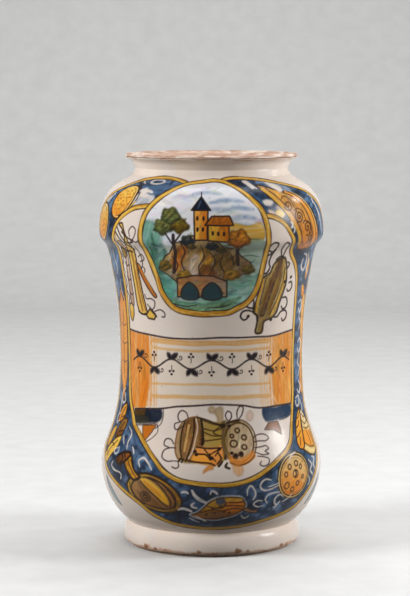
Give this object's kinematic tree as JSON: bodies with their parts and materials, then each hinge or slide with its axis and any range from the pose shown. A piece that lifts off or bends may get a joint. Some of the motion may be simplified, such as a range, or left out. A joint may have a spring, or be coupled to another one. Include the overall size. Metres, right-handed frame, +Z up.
{
  "type": "albarello",
  "caption": "Waisted cylindrical pharmacy jar of tin-glazed earthenware with a domed shoulder, a flared lip and a rolled foot.",
  "frame": {"origin": "centre of the ring that the foot rests on, at the level of the table", "axes": "+Z up along the axis of the jar, -Y towards the painted front"},
  "size_m": [0.1716, 0.1716, 0.3],
  "materials": {
    "clay": "bare buff-pink earthenware, worn and slightly stained",
    "slip": "dried clay slip",
    "painted_tin_glaze": "glossy off-white tin glaze, painted in blue, ochre, orange, green and brown",
    "lining_glaze": "glossy cream glaze"
  },
  "bodies": {
    "root": {"foot_ring": "clay", "foot_lute": "slip", "lower_section": "clay", "waist_lute": "slip", "upper_section": "clay", "neck_lute": "slip", "neck_collar": "clay", "outer_glaze": "painted_tin_glaze", "inner_glaze": "lining_glaze"}
  },
  "joints": []
}
